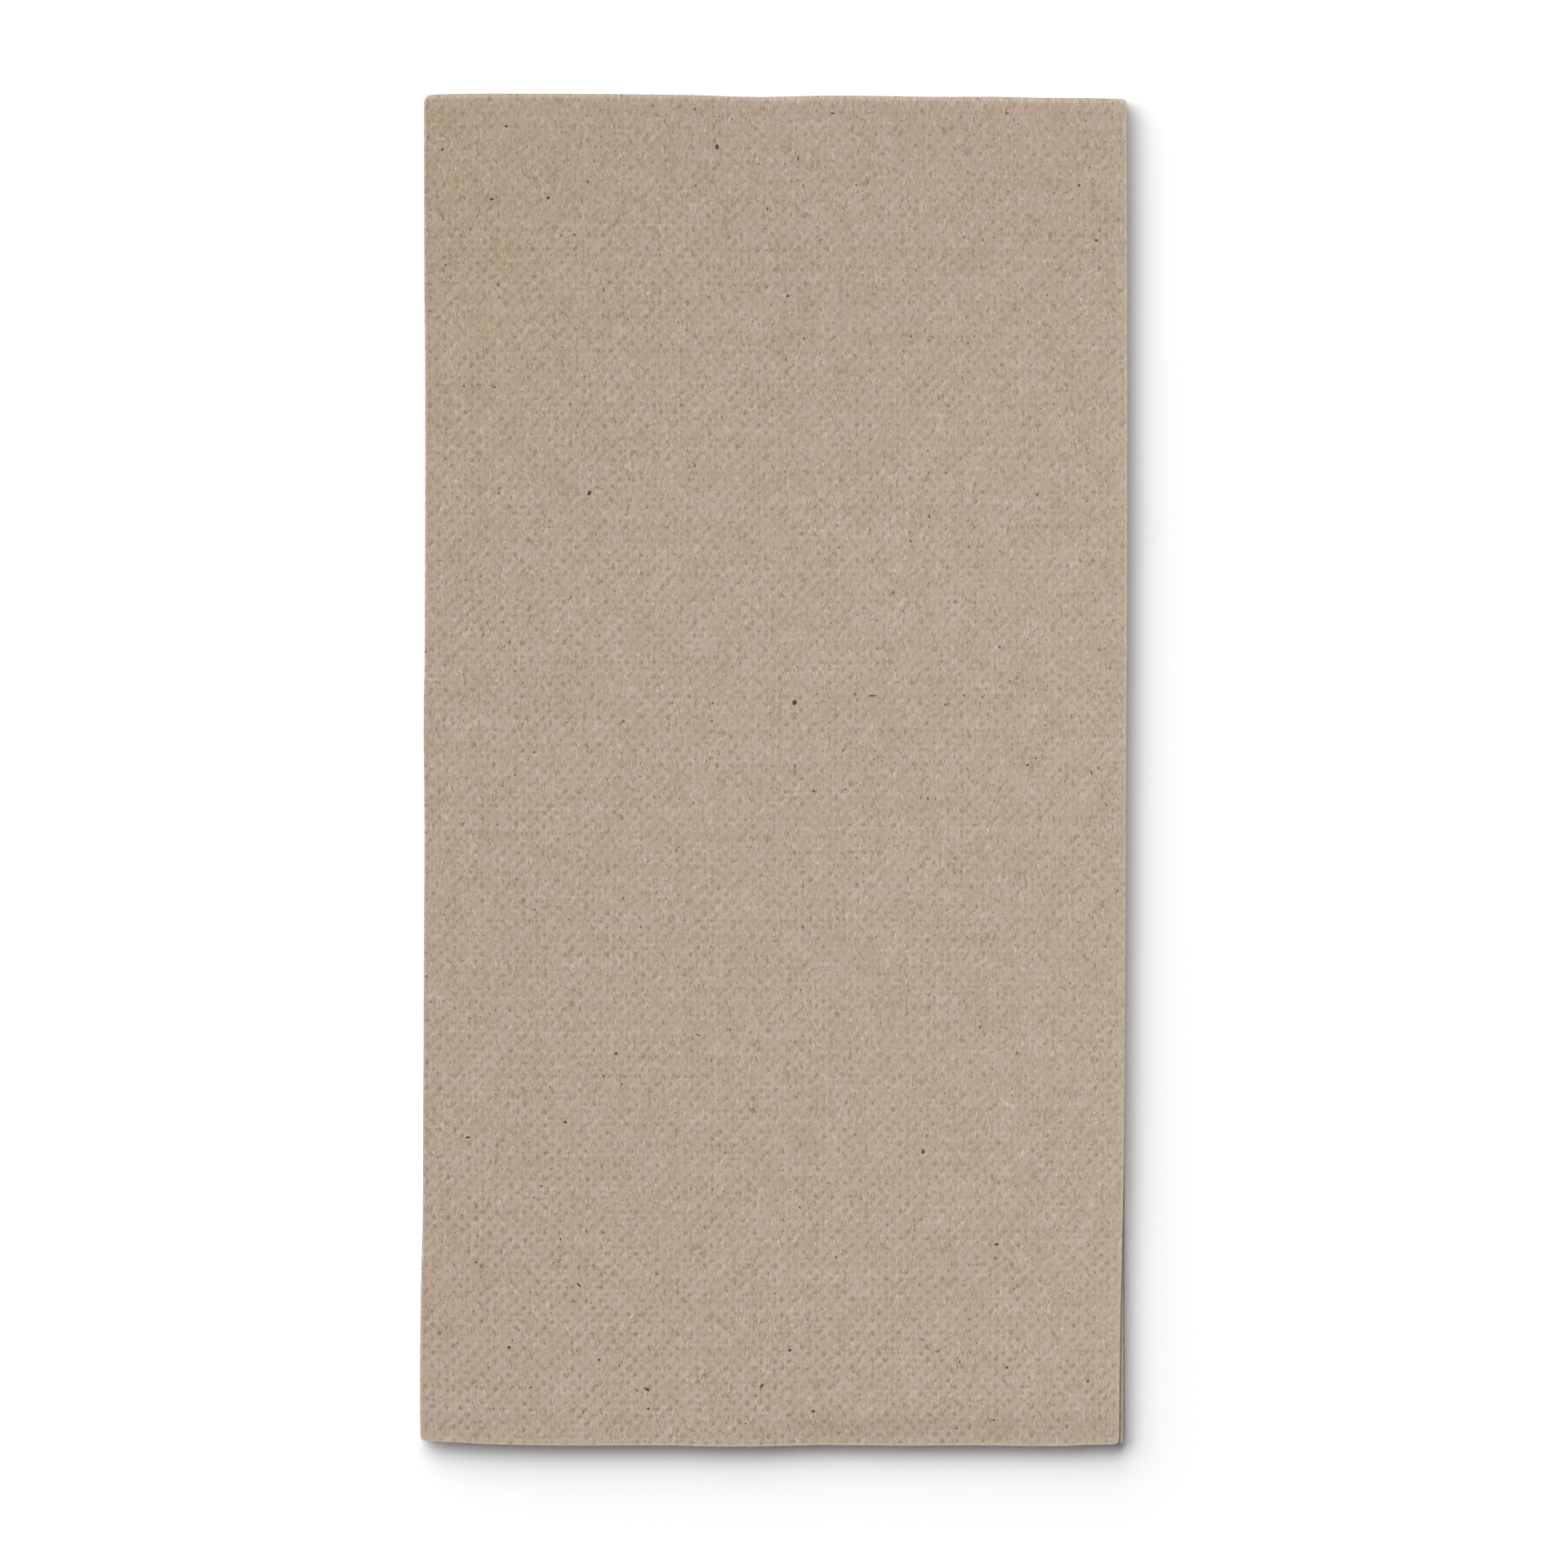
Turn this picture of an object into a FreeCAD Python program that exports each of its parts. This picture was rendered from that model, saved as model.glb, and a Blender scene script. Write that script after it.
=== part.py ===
import FreeCAD, Part
import math
import os
import Sketcher
from FreeCAD import Vector

# Paper napkin: one square sheet of two-ply tissue in a 1/8 fold.
# The sheet is folded in half twice along its length, which gives a pack of four leaves, and then once
# across, which lays the pack on itself. So eight leaves lie on each other and stay one continuous sheet.
# X runs across the folded napkin, Y along it with the cross fold at +Y, and Z up. The origin is at the
# middle of the underside. Lengths are millimetres.

doc = FreeCAD.newDocument("paper_napkin")

# Driving dimensions
DIMENSIONS = [
    ("folded_width", 102.0, "across the folded napkin, from the nested folds to the single one"),
    ("folded_length", 196.2, "from the cross fold to the middle of the open end"),
    ("leaf_thickness", 0.26, "one leaf: two plies, embossed together"),
    ("leaf_gap", 0.12, "air between two leaves, as the fluffy paper rests"),
    ("outer_leaf_setback", 0.10, "loose edge of the outer leaf, back from the fold under it"),
    ("outer_leaf_lean", 0.45, "how much further back that edge is at the open end"),
    ("second_leaf_setback", 0.20, "loose edge of the leaf below it, back from the same fold"),
    ("end_step", 0.07, "each cut end, back from the end of the leaf above it"),
    ("end_bow", 0.70, "how far the corners of the cut end stand back from its middle"),
]

sizes = doc.addObject("Spreadsheet::Sheet", "sizes")
for row, (alias, value, note) in enumerate(DIMENSIONS, start=1):
    sizes.set(f"A{row}", note)
    sizes.set(f"B{row}", str(value))
    sizes.setAlias(f"B{row}", alias)
doc.recompute()

# Sizes that follow from the driving ones
LEAVES_IN_PACK = 4
LEAF_PITCH = "(sizes.leaf_thickness + sizes.leaf_gap)"
SMALL_FOLD_RADIUS = "(sizes.leaf_thickness + sizes.leaf_gap / 2)"
LARGE_FOLD_RADIUS = "(2 * sizes.leaf_thickness + 1.5 * sizes.leaf_gap)"
STACK_HEIGHT = "(8 * sizes.leaf_thickness + 7 * sizes.leaf_gap)"
HALF_WIDTH = "(sizes.folded_width / 2)"
HALF_LENGTH = "(sizes.folded_length / 2)"
FOLD_AXIS = f"({HALF_LENGTH} - {STACK_HEIGHT} / 2)"
UNDER_OUTER_LEAF = "(sizes.leaf_thickness + sizes.leaf_gap / 2)"
BOW_RADIUS = f"(({HALF_WIDTH} ^ 2 + sizes.end_bow ^ 2) / (2 * sizes.end_bow))"
# A trimming profile reaches this far past the paper
OUTSIDE = STACK_HEIGHT

START, END, CENTRE = 1, 2, 3
ORIGIN = (-1, 1)

body = doc.addObject("PartDesign::Body", "folded_napkin")
body.Label = "folded_napkin"


def origin_plane(role):
    """The body's own plane of that role."""
    return next(item for item in body.Origin.OriginFeatures if item.Role == role)


def new_sketch(name, role):
    """An empty sketch on one of the body's origin planes."""
    sketch = body.newObject("Sketcher::SketchObject", name)
    sketch.AttachmentSupport = [(origin_plane(role), "")]
    sketch.MapMode = "FlatFace"
    return sketch


def value_of(formula):
    """The number that a formula of sizes gives, for placing edges near their final place."""
    return float(sizes.evalExpression(formula))


def segment(sketch, start, end):
    """A straight edge between two (x, y) points of the sketch."""
    return sketch.addGeometry(Part.LineSegment(Vector(*start, 0), Vector(*end, 0)), False)


def join(sketch, first, first_point, second, second_point):
    """Two edges meet at these end points."""
    sketch.addConstraint(Sketcher.Constraint("Coincident", first, first_point, second, second_point))


def direct(sketch, edge, direction):
    """An edge runs Horizontal or Vertical."""
    sketch.addConstraint(Sketcher.Constraint(direction, edge))


def measure(sketch, kind, name, start, end, formula):
    """A named distance from one point to another, bound to the sheet of sizes."""
    now = value_of(formula)
    index = sketch.addConstraint(Sketcher.Constraint(kind, *start, *end, now))
    sketch.renameConstraint(index, name)
    sketch.setExpression(f"Constraints.{name}", formula)


def closed_outline(sketch, corners):
    """Straight edges from each corner to the next, and from the last back to the first."""
    edges = [segment(sketch, here, there) for here, there in zip(corners, corners[1:] + corners[:1])]
    for edge, following in zip(edges, edges[1:] + edges[:1]):
        join(sketch, edge, END, following, START)
    return edges


def add_leaf(sketch, left, right, low):
    """The lower and the upper face of one flat leaf, seen end on."""
    high = low + value_of("sizes.leaf_thickness")
    lower = segment(sketch, (left, low), (right, low))
    upper = segment(sketch, (left, high), (right, high))
    direct(sketch, lower, "Horizontal")
    direct(sketch, upper, "Horizontal")
    return {"lower": lower, "upper": upper, "left": left, "right": right, "low": low, "high": high}


def add_half_circle(sketch, centre, radius, opens_right):
    """A half circle that runs anticlockwise and ends straight above and below its centre."""
    first = math.pi / 2 if opens_right else -math.pi / 2
    circle = Part.Circle(Vector(*centre, 0), Vector(0, 0, 1), radius)
    arc = sketch.addGeometry(Part.ArcOfCircle(circle, first, first + math.pi), False)
    for point in (START, END):
        sketch.addConstraint(Sketcher.Constraint("Vertical", arc, CENTRE, arc, point))
    return arc


def add_fold(sketch, leaf_above, leaf_below, at_left):
    """The bend that turns one leaf into another: an outer and an inner half circle on one centre."""
    x = leaf_below["left"] if at_left else leaf_below["right"]
    y = (leaf_above["high"] + leaf_below["low"]) / 2
    outer = add_half_circle(sketch, (x, y), leaf_above["high"] - y, at_left)
    inner = add_half_circle(sketch, (x, y), leaf_above["low"] - y, at_left)
    top_point, bottom_point = (START, END) if at_left else (END, START)
    leaf_point = START if at_left else END
    join(sketch, outer, top_point, leaf_above["upper"], leaf_point)
    join(sketch, outer, bottom_point, leaf_below["lower"], leaf_point)
    join(sketch, inner, top_point, leaf_above["lower"], leaf_point)
    join(sketch, inner, bottom_point, leaf_below["upper"], leaf_point)
    sketch.addConstraint(Sketcher.Constraint("Vertical", outer, CENTRE, inner, CENTRE))
    return outer


def add_cut_edge(sketch, leaf):
    """The square end of a leaf whose right edge is loose."""
    cap = segment(sketch, (leaf["right"], leaf["low"]), (leaf["right"], leaf["high"]))
    direct(sketch, cap, "Vertical")
    join(sketch, cap, START, leaf["lower"], END)
    join(sketch, cap, END, leaf["upper"], END)
    return cap


# Section of the pack: one long band, four leaves thick. It starts at the loose edge of the outer leaf,
# goes left, round the large fold and back right along the bottom, round the single fold at the right,
# back left, and round the small fold that nests in the large one to the second loose edge.
# The sketch's own X axis is the line that the cross fold turns about.
section = new_sketch("pack_section", "XZ_Plane")
section.setExpression("AttachmentOffset.Base.y", f"{STACK_HEIGHT} / 2")
section.setExpression("AttachmentOffset.Base.z", f"0 - {FOLD_AXIS}")

LARGE_FOLD_CENTRE = f"({HALF_WIDTH} - {LARGE_FOLD_RADIUS})"
SINGLE_FOLD_CENTRE = f"({HALF_WIDTH} - {SMALL_FOLD_RADIUS})"
SECOND_EDGE = f"({HALF_WIDTH} - sizes.second_leaf_setback)"
OUTER_EDGE = f"({HALF_WIDTH} - sizes.outer_leaf_setback)"

leaf_ends = [SINGLE_FOLD_CENTRE, SINGLE_FOLD_CENTRE, SECOND_EDGE, OUTER_EDGE]
leaves = []
for number, leaf_end in enumerate(leaf_ends):
    low = value_of(f"sizes.leaf_gap / 2 + {number} * {LEAF_PITCH}")
    leaves.append(add_leaf(section, -value_of(LARGE_FOLD_CENTRE), value_of(leaf_end), low))
bottom_leaf, third_leaf, second_leaf, outer_leaf = leaves

large_fold = add_fold(section, outer_leaf, bottom_leaf, at_left=True)
nested_fold = add_fold(section, second_leaf, third_leaf, at_left=True)
single_fold = add_fold(section, third_leaf, bottom_leaf, at_left=False)
second_cut = add_cut_edge(section, second_leaf)
outer_cut = add_cut_edge(section, outer_leaf)
section.addConstraint(Sketcher.Constraint("Vertical", large_fold, CENTRE, nested_fold, CENTRE))

measure(section, "DistanceX", "large_fold_centre", (large_fold, CENTRE), ORIGIN, LARGE_FOLD_CENTRE)
measure(section, "DistanceX", "single_fold_centre", ORIGIN, (single_fold, CENTRE), SINGLE_FOLD_CENTRE)
measure(section, "DistanceX", "second_cut_edge", ORIGIN, (second_cut, START), SECOND_EDGE)
measure(section, "DistanceX", "outer_cut_edge", ORIGIN, (outer_cut, START), OUTER_EDGE)
measure(section, "DistanceY", "half_a_gap", ORIGIN, (bottom_leaf["lower"], START), "sizes.leaf_gap / 2")
for number, leaf in enumerate(leaves, start=1):
    measure(section, "DistanceY", f"leaf_{number}", (leaf["lower"], START), (leaf["upper"], START),
            "sizes.leaf_thickness")
for number, (below, above) in enumerate(zip(leaves, leaves[1:]), start=1):
    measure(section, "DistanceY", f"gap_{number}", (below["upper"], START), (above["lower"], START),
            "sizes.leaf_gap")
doc.recompute()

# Upper pack: the section carried from the cross fold to the open end
upper_pack = body.newObject("PartDesign::Pad", "upper_pack")
upper_pack.Profile = section
upper_pack.setExpression("Length", f"{HALF_LENGTH} + {FOLD_AXIS}")
doc.recompute()

# Cross fold: the whole section, its nested side folds with it, turns half a circle about the middle
# of the stack, so the corner where the folds meet comes out round
cross_fold = body.newObject("PartDesign::Revolution", "cross_fold")
cross_fold.Profile = section
cross_fold.ReferenceAxis = (section, ["H_Axis"])
cross_fold.Angle = 180
cross_fold.Reversed = True
doc.recompute()

# Lower pack: the other half of the sheet, face to face with the upper pack
lower_pack = body.newObject("PartDesign::Mirrored", "lower_pack")
lower_pack.Originals = [upper_pack]
lower_pack.MirrorPlane = (section, ["H_Axis"])
body.Tip = lower_pack
doc.recompute()
volumes = [body.Shape.Volume]

# Open end, seen from the side: under the outer leaf each cut end stands one step further back.
# The stair's treads run under the leaves and its risers are the cut ends.
steps = new_sketch("end_steps", "YZ_Plane")
TOP_TREAD = f"({STACK_HEIGHT} - {UNDER_OUTER_LEAF})"
stair_count = 2 * LEAVES_IN_PACK - 1
outside_end = value_of(f"0 - {HALF_LENGTH} - {OUTSIDE}")
corners = [(outside_end, value_of(TOP_TREAD))]
for number in range(1, stair_count + 1):
    reach = value_of(f"{number} * sizes.end_step - {HALF_LENGTH}")
    corners.append((reach, value_of(f"{TOP_TREAD} - {number - 1} * {LEAF_PITCH}")))
    corners.append((reach, value_of(f"{TOP_TREAD} - {number} * {LEAF_PITCH}")))
corners[-1] = (reach, value_of(f"0 - {OUTSIDE}"))
corners.append((outside_end, value_of(f"0 - {OUTSIDE}")))
stair = closed_outline(steps, corners)
for edge in stair[0::2]:
    direct(steps, edge, "Horizontal")
for edge in stair[1::2]:
    direct(steps, edge, "Vertical")
treads = stair[0:2 * stair_count:2]
risers = stair[1:2 * stair_count:2]
measure(steps, "DistanceY", "top_tread", ORIGIN, (treads[0], START), TOP_TREAD)
measure(steps, "DistanceX", "outside", (treads[0], START), ORIGIN, f"{HALF_LENGTH} + {OUTSIDE}")
measure(steps, "DistanceX", "step_1", (treads[0], START), (treads[0], END), f"{OUTSIDE} + sizes.end_step")
for number, tread in enumerate(treads[1:], start=2):
    measure(steps, "DistanceX", f"step_{number}", (tread, START), (tread, END), "sizes.end_step")
for number, riser in enumerate(risers[:-1], start=1):
    measure(steps, "DistanceY", f"rise_{number}", (riser, END), (riser, START), LEAF_PITCH)
measure(steps, "DistanceY", "below", (risers[-1], END), ORIGIN, OUTSIDE)
doc.recompute()

stepped_end = body.newObject("PartDesign::Pocket", "stepped_end")
stepped_end.Profile = steps
stepped_end.SideType = "Symmetric"
stepped_end.setExpression("Length", f"2 * ({HALF_WIDTH} + {OUTSIDE})")
doc.recompute()
volumes.append(body.Shape.Volume)

# Open end, seen from above: the knife's line bows out a little between the corners
knife_line = new_sketch("knife_line", "XY_Plane")
outside_width = value_of(f"{HALF_WIDTH} + {OUTSIDE}")
bow_radius = value_of(BOW_RADIUS)
bow_centre = value_of(f"{BOW_RADIUS} - {HALF_LENGTH}")
half_angle = math.asin(outside_width / bow_radius)
bow_circle = Part.Circle(Vector(0, bow_centre, 0), Vector(0, 0, 1), bow_radius)
bow_bottom = 3 * math.pi / 2
bow = knife_line.addGeometry(
    Part.ArcOfCircle(bow_circle, bow_bottom - half_angle, bow_bottom + half_angle), False)
arc_end = bow_centre - bow_radius * math.cos(half_angle)
left_side = segment(knife_line, (-outside_width, arc_end), (-outside_width, outside_end))
far_side = segment(knife_line, (-outside_width, outside_end), (outside_width, outside_end))
right_side = segment(knife_line, (outside_width, outside_end), (outside_width, arc_end))
join(knife_line, bow, START, left_side, START)
join(knife_line, left_side, END, far_side, START)
join(knife_line, far_side, END, right_side, START)
join(knife_line, right_side, END, bow, END)
direct(knife_line, left_side, "Vertical")
direct(knife_line, far_side, "Horizontal")
direct(knife_line, right_side, "Vertical")
knife_line.addConstraint(Sketcher.Constraint("Vertical", *ORIGIN, bow, CENTRE))
measure(knife_line, "DistanceY", "bow_centre", ORIGIN, (bow, CENTRE), f"{BOW_RADIUS} - {HALF_LENGTH}")
measure(knife_line, "DistanceX", "left", (left_side, END), ORIGIN, f"{HALF_WIDTH} + {OUTSIDE}")
measure(knife_line, "DistanceX", "right", ORIGIN, (right_side, START), f"{HALF_WIDTH} + {OUTSIDE}")
measure(knife_line, "DistanceY", "far", (far_side, START), ORIGIN, f"{HALF_LENGTH} + {OUTSIDE}")
radius_index = knife_line.addConstraint(Sketcher.Constraint("Radius", bow, bow_radius))
knife_line.renameConstraint(radius_index, "bow_radius")
knife_line.setExpression("Constraints.bow_radius", BOW_RADIUS)
doc.recompute()

bowed_end = body.newObject("PartDesign::Pocket", "bowed_end")
bowed_end.Profile = knife_line
bowed_end.Type = "ThroughAll"
bowed_end.Reversed = True
doc.recompute()
volumes.append(body.Shape.Volume)

# Loose edge of the outer leaf: it leans away from the folds under it towards the open end, so the
# second leaf and the single fold show beside it
loose_edge = new_sketch("loose_edge", "XY_Plane")
loose_edge.setExpression("AttachmentOffset.Base.z", STACK_HEIGHT)
LEANING_EDGE = f"({OUTER_EDGE} - sizes.outer_leaf_lean)"
wedge = closed_outline(loose_edge, [
    (value_of(OUTER_EDGE), value_of(FOLD_AXIS)),
    (outside_width, value_of(FOLD_AXIS)),
    (outside_width, value_of(f"0 - {HALF_LENGTH}")),
    (value_of(LEANING_EDGE), value_of(f"0 - {HALF_LENGTH}")),
])
fold_side, beside, end_side, leaning_side = wedge
direct(loose_edge, fold_side, "Horizontal")
direct(loose_edge, beside, "Vertical")
direct(loose_edge, end_side, "Horizontal")
measure(loose_edge, "DistanceY", "fold_axis", ORIGIN, (fold_side, START), FOLD_AXIS)
measure(loose_edge, "DistanceX", "outer_edge", ORIGIN, (fold_side, START), OUTER_EDGE)
measure(loose_edge, "DistanceX", "beside", ORIGIN, (fold_side, END), f"{HALF_WIDTH} + {OUTSIDE}")
measure(loose_edge, "DistanceY", "open_end", (end_side, START), ORIGIN, HALF_LENGTH)
measure(loose_edge, "DistanceX", "leaning_edge", ORIGIN, (end_side, END), LEANING_EDGE)
doc.recompute()

leaning_leaf = body.newObject("PartDesign::Pocket", "leaning_leaf")
leaning_leaf.Profile = loose_edge
leaning_leaf.setExpression("Length", UNDER_OUTER_LEAF)
doc.recompute()
volumes.append(body.Shape.Volume)

# Checks: every feature worked, each trim took paper away, and the napkin is one valid solid
for item in doc.Objects:
    if "Invalid" in item.State or "Error" in item.State:
        raise RuntimeError(f"{item.Label} failed: {item.State}")
for sketch in (section, steps, knife_line, loose_edge):
    if sketch.solve() != 0:
        raise RuntimeError(f"{sketch.Label} has no solution")
napkin = body.Shape
if napkin.isNull() or not napkin.isValid() or len(napkin.Solids) != 1:
    raise RuntimeError("the napkin is not one valid solid")
if sorted(set(volumes), reverse=True) != volumes:
    raise RuntimeError("a trim took no paper away")

os.makedirs("parts", exist_ok=True)
napkin.exportStep(f"parts/{body.Label}.step")
box = napkin.optimalBoundingBox(True)
print("box", [round(n, 3) for n in (box.XMin, box.YMin, box.ZMin, box.XMax, box.YMax, box.ZMax)])
print("volume", round(napkin.Volume, 1), "after each trim", [round(volume, 1) for volume in volumes])
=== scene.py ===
import math
import random

import bpy
import numpy as np
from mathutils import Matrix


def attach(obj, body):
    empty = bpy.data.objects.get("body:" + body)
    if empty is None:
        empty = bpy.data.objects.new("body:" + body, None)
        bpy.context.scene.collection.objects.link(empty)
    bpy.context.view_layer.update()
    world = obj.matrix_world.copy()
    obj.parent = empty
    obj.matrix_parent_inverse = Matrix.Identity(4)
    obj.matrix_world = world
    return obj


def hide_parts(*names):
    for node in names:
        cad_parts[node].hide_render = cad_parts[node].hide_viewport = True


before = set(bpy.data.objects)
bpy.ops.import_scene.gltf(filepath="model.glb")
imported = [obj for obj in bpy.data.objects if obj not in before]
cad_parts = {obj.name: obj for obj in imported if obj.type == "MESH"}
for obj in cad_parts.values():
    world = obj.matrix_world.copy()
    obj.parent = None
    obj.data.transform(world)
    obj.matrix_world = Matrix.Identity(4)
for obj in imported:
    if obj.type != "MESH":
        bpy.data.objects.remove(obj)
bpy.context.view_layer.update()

# ---- Folded sheet ----
# One square sheet of unbleached two-ply tissue, embossed all over with small dots. The maker folds it
# in half twice along its length and once across it and presses it, so eight leaves lie on each other.
# Its loose edges are knife cuts, which show between and beside the rounded folds.
MM = 0.001
MILLIMETRES = 1000.0
folded_width = 102.0 * MM
folded_length = 196.2 * MM
leaf_thickness = 0.26 * MM
leaf_gap = 0.12 * MM
outer_edge_setback = 0.10 * MM
second_edge_setback = 0.20 * MM
end_step = 0.07 * MM
pack_height = 4 * (leaf_thickness + leaf_gap) - leaf_gap
stack_height = 2 * pack_height + leaf_gap

# How the pressed edges stray from straight, as places along the edge and how far it lies out there.
left_edge_stray = [
    (-98, -0.66), (-92, -0.78), (-80, -0.69), (-73, -0.58), (-65, -0.36), (-54, -0.32), (-30, -0.22),
    (-7, -0.13), (5, -0.24), (17, -0.10), (35, -0.03), (58, -0.03), (70, -0.13), (98, -0.17),
]
right_edge_stray = [(-98, -0.14), (-60, -0.16), (-35, -0.14), (8, -0.05), (26, 0.06), (98, 0.08)]
cross_fold_stray = [
    (-51, 0.22), (-45, 0.50), (-32, 0.51), (-27, 0.49), (-20, 0.42), (-15, 0.38), (-9, 0.24), (-2.5, 0.04),
    (3, 0.14), (8, 0.24), (16, 0.17), (24, 0.07), (33, 0.06), (39, -0.09), (45, -0.13), (49.4, -0.22), (51, -0.28),
]
cut_end_stray = [
    (-51, 0.56), (-47.5, 0.36), (-44.5, 0.22), (-41.6, 0.04), (-38, -0.05), (-32, -0.17), (-20, -0.17),
    (-14, -0.16), (-9, -0.30), (0, -0.29), (6, -0.11), (12, -0.16), (20, -0.21), (30, -0.18), (42, -0.27),
    (46, -0.10), (49.4, -0.03), (51, 0.10),
]
loose_leaf_lean = [(-98, -0.74), (-84, -0.58), (-66, -0.20), (-50, 0.02), (98, 0.15)]


class Bench:
    """A node tree, with short ways to lay nodes in it and to join them."""

    def __init__(self, tree):
        self.tree = tree

    def feed(self, socket, value):
        """Joins an output to the socket, or sets the socket's own value."""
        if isinstance(value, bpy.types.NodeSocket):
            self.tree.links.new(value, socket)
        else:
            socket.default_value = value

    def lay(self, kind, inputs=None, **settings):
        """A new node with its settings and its inputs."""
        node = self.tree.nodes.new(kind)
        for name, value in settings.items():
            setattr(node, name, value)
        for key, value in (inputs or {}).items():
            self.feed(node.inputs[key], value)
        return node

    def use(self, tree, **inputs):
        """The outputs of a node group. An input's label is written with _ for each space."""
        kind = {"SHADER": "ShaderNodeGroup", "GEOMETRY": "GeometryNodeGroup"}[tree.type]
        labelled = {label.replace("_", " "): value for label, value in inputs.items()}
        return self.lay(kind, labelled, node_tree=tree).outputs

    def calc(self, operation, *values, clamp=False):
        inputs = dict(enumerate(values))
        return self.lay("ShaderNodeMath", inputs, operation=operation, use_clamp=clamp).outputs[0]

    def plus(self, first, *rest):
        for value in rest:
            first = self.calc("ADD", first, value)
        return first

    def minus(self, value, less):
        return self.calc("SUBTRACT", value, less)

    def times(self, first, *rest):
        for value in rest:
            first = self.calc("MULTIPLY", first, value)
        return first

    def over(self, value, divisor):
        return self.calc("DIVIDE", value, divisor)

    def size_of(self, value):
        return self.calc("ABSOLUTE", value)

    def vector(self, operation, *values, out=0):
        return self.lay("ShaderNodeVectorMath", dict(enumerate(values)), operation=operation).outputs[out]

    def scale(self, vector, factor):
        return self.lay("ShaderNodeVectorMath", {0: vector, "Scale": factor}, operation="SCALE").outputs[0]

    def point(self, x, y, z):
        return self.lay("ShaderNodeCombineXYZ", {0: x, 1: y, 2: z}).outputs[0]

    def parts(self, vector):
        return self.lay("ShaderNodeSeparateXYZ", {0: vector}).outputs

    def ramp(self, value, start, end, low=0.0, high=1.0, shape="SMOOTHSTEP"):
        """Goes from low to high, softly at both ends, as the value goes from start to end."""
        inputs = {0: value, 1: start, 2: end, 3: low, 4: high}
        return self.lay("ShaderNodeMapRange", inputs, interpolation_type=shape).outputs[0]

    def slope(self, *values):
        """A ramp that is straight."""
        return self.ramp(*values, shape="LINEAR")

    def mix(self, share, first, second):
        return self.lay("ShaderNodeMix", {"Factor": share, "A": first, "B": second}).outputs[0]

    def noise(self, place, scale, detail, roughness=0.5, out="Fac"):
        inputs = {"Vector": place, "Scale": scale, "Detail": detail, "Roughness": roughness}
        return self.lay("ShaderNodeTexNoise", inputs, noise_dimensions="2D").outputs[out]

    def wander(self, place, source, scale, detail, reach):
        """The place, moved about by up to half the reach as a noise at the source says."""
        off = self.vector("SUBTRACT", self.noise(source, scale, detail, out="Color"), (0.5, 0.5, 0.5))
        return self.vector("ADD", place, self.scale(off, reach))

    def ridge(self, noise, fineness):
        """Fine lines, where the noise passes its middle."""
        return self.ramp(self.size_of(self.minus(noise, 0.5)), fineness, 0.0)

    def in_cells(self, place, size):
        """The place, counted in cells of this size."""
        return self.scale(place, self.over(1.0, size))

    def blend(self, share, first, second, how="MIX"):
        """Lays the second colour over the first."""
        node = self.lay("ShaderNodeMix", data_type="RGBA", blend_type=how)
        self.feed(node.inputs[0], share)
        for socket, colour in ((node.inputs[6], first), (node.inputs[7], second)):
            self.feed(socket, colour if isinstance(colour, bpy.types.NodeSocket) else (*colour, 1.0))
        return node.outputs[2]

    def on_flat_sheet(self):
        """The place on the unfolded sheet, in millimetres."""
        sheet = self.lay("ShaderNodeAttribute", attribute_name="flat_sheet").outputs["Vector"]
        return self.scale(sheet, MILLIMETRES)

    def on_piece(self):
        """The place on the piece, in metres."""
        return self.lay("ShaderNodeTexCoord").outputs["Object"]

    def seen(self):
        """1 for what the camera sees, directly or by way of a shiny or clear thing, else 0."""
        rays = self.lay("ShaderNodeLightPath").outputs
        other = self.calc("MAXIMUM", rays["Is Glossy Ray"], rays["Is Transmission Ray"])
        return self.calc("MAXIMUM", rays["Is Camera Ray"], other)

    def here(self):
        return self.lay("GeometryNodeInputPosition").outputs[0]

    def index(self):
        return self.lay("GeometryNodeInputIndex").outputs[0]

    def move(self, geometry, **where):
        """Sets the points' Position, or moves them by an Offset."""
        return self.lay("GeometryNodeSetPosition", {"Geometry": geometry, **where}).outputs[0]

    def store(self, geometry, name, value, data_type="FLOAT"):
        inputs = {"Geometry": geometry, "Name": name, "Value": value}
        return self.lay("GeometryNodeStoreNamedAttribute", inputs, data_type=data_type).outputs[0]

    def named(self, name, data_type="FLOAT"):
        return self.lay("GeometryNodeInputNamedAttribute", {"Name": name}, data_type=data_type).outputs[0]

    def realised(self, geometry):
        return self.lay("GeometryNodeRealizeInstances", {"Geometry": geometry}).outputs[0]

    def hand_over(self, socket, geometry, finish):
        """Gives the geometry its material and passes it on as what the tree makes."""
        inputs = {"Geometry": geometry, "Material": finish}
        self.feed(socket, self.lay("GeometryNodeSetMaterial", inputs).outputs[0])


def new_tree(name, inputs, outputs, kind="GeometryNodeTree"):
    """A node group whose inputs are (name, socket kind, value) and whose outputs are (name, socket kind)."""
    tree = bpy.data.node_groups.new(name, kind)
    for label, socket, value in inputs:
        made = tree.interface.new_socket(label, in_out="INPUT", socket_type=socket)
        if value is not None:
            made.default_value = value
    for label, socket in outputs:
        tree.interface.new_socket(label, in_out="OUTPUT", socket_type=socket)
    return Bench(tree), tree.nodes.new("NodeGroupInput").outputs, tree.nodes.new("NodeGroupOutput").inputs


FLOAT, COUNT, SHAPE = "NodeSocketFloat", "NodeSocketInt", "NodeSocketGeometry"
VECTOR, FINISH, THING = "NodeSocketVector", "NodeSocketMaterial", "NodeSocketObject"
TOUCHING = 1e-7
HARDLY_PAST = 1e-6
HARDLY_ANYTHING = 1e-9


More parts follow.
